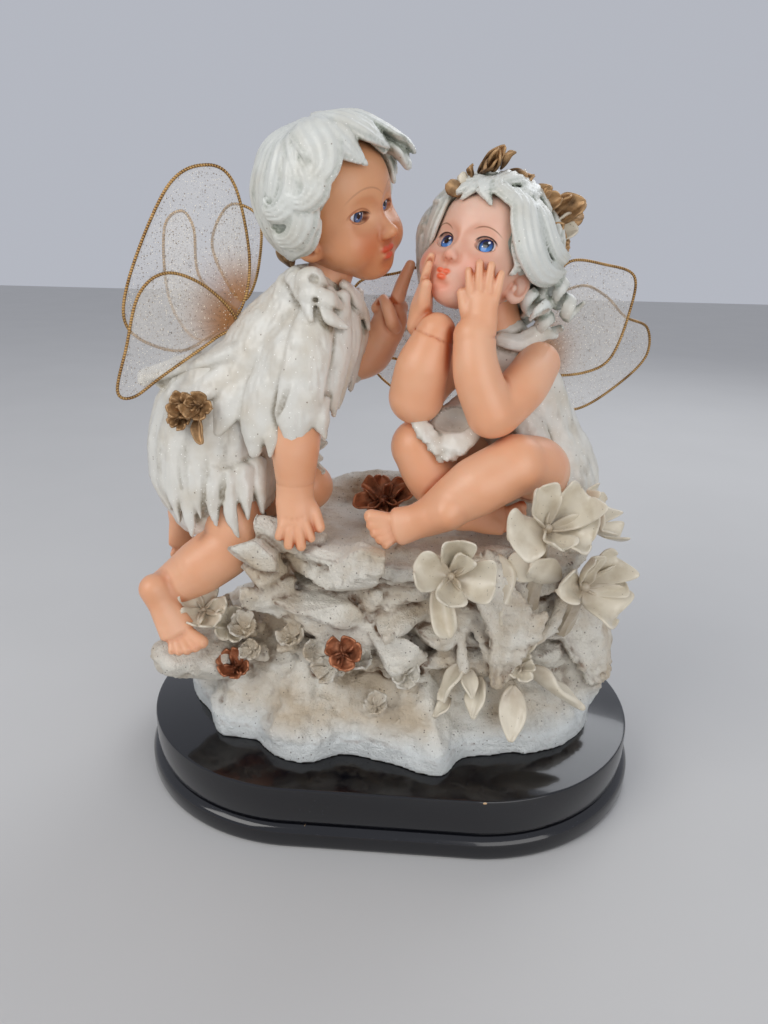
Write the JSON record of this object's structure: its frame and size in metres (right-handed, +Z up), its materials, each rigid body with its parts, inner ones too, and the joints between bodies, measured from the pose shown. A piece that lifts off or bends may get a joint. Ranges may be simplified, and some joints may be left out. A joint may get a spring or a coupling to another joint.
{
  "type": "fairy figurine",
  "caption": "Painted resin group of winged fairy children, leaning in to whisper, on a flowering rock above a round-ended black lacquered plinth.",
  "frame": {"origin": "centre of the plinth's underside", "axes": "+Z up, +X to the viewer's right along the plinth's length, the front that the picture shows faces -Y"},
  "size_m": [0.2486, 0.1654, 0.3007],
  "materials": {
    "lacquered_wood": "gloss black lacquer",
    "rock_resin": "cream paint with a brown wash",
    "figure_resin": "satin paint, pearl white dress and hair over peach skin",
    "wing_wire": "thread-wound gold wire",
    "wing_gauze": "sheer nylon gauze with glitter"
  },
  "bodies": {
    "root": {"plinth": "lacquered_wood", "rock_base": "rock_resin", "leaning_fairy": "figure_resin", "seated_fairy": "figure_resin", "leaning_wing_near_upper_wire": "wing_wire", "leaning_wing_near_upper_gauze": "wing_gauze", "leaning_wing_near_lower_wire": "wing_wire", "leaning_wing_near_lower_gauze": "wing_gauze", "leaning_wing_far_lower_wire": "wing_wire", "leaning_wing_far_lower_gauze": "wing_gauze", "leaning_wing_far_upper_wire": "wing_wire", "leaning_wing_far_upper_gauze": "wing_gauze", "seated_wing_left_upper_wire": "wing_wire", "seated_wing_left_upper_gauze": "wing_gauze", "seated_wing_left_lower_wire": "wing_wire", "seated_wing_left_lower_gauze": "wing_gauze", "seated_wing_right_upper_wire": "wing_wire", "seated_wing_right_upper_gauze": "wing_gauze", "seated_wing_right_lower_wire": "wing_wire", "seated_wing_right_lower_gauze": "wing_gauze"}
  },
  "joints": []
}
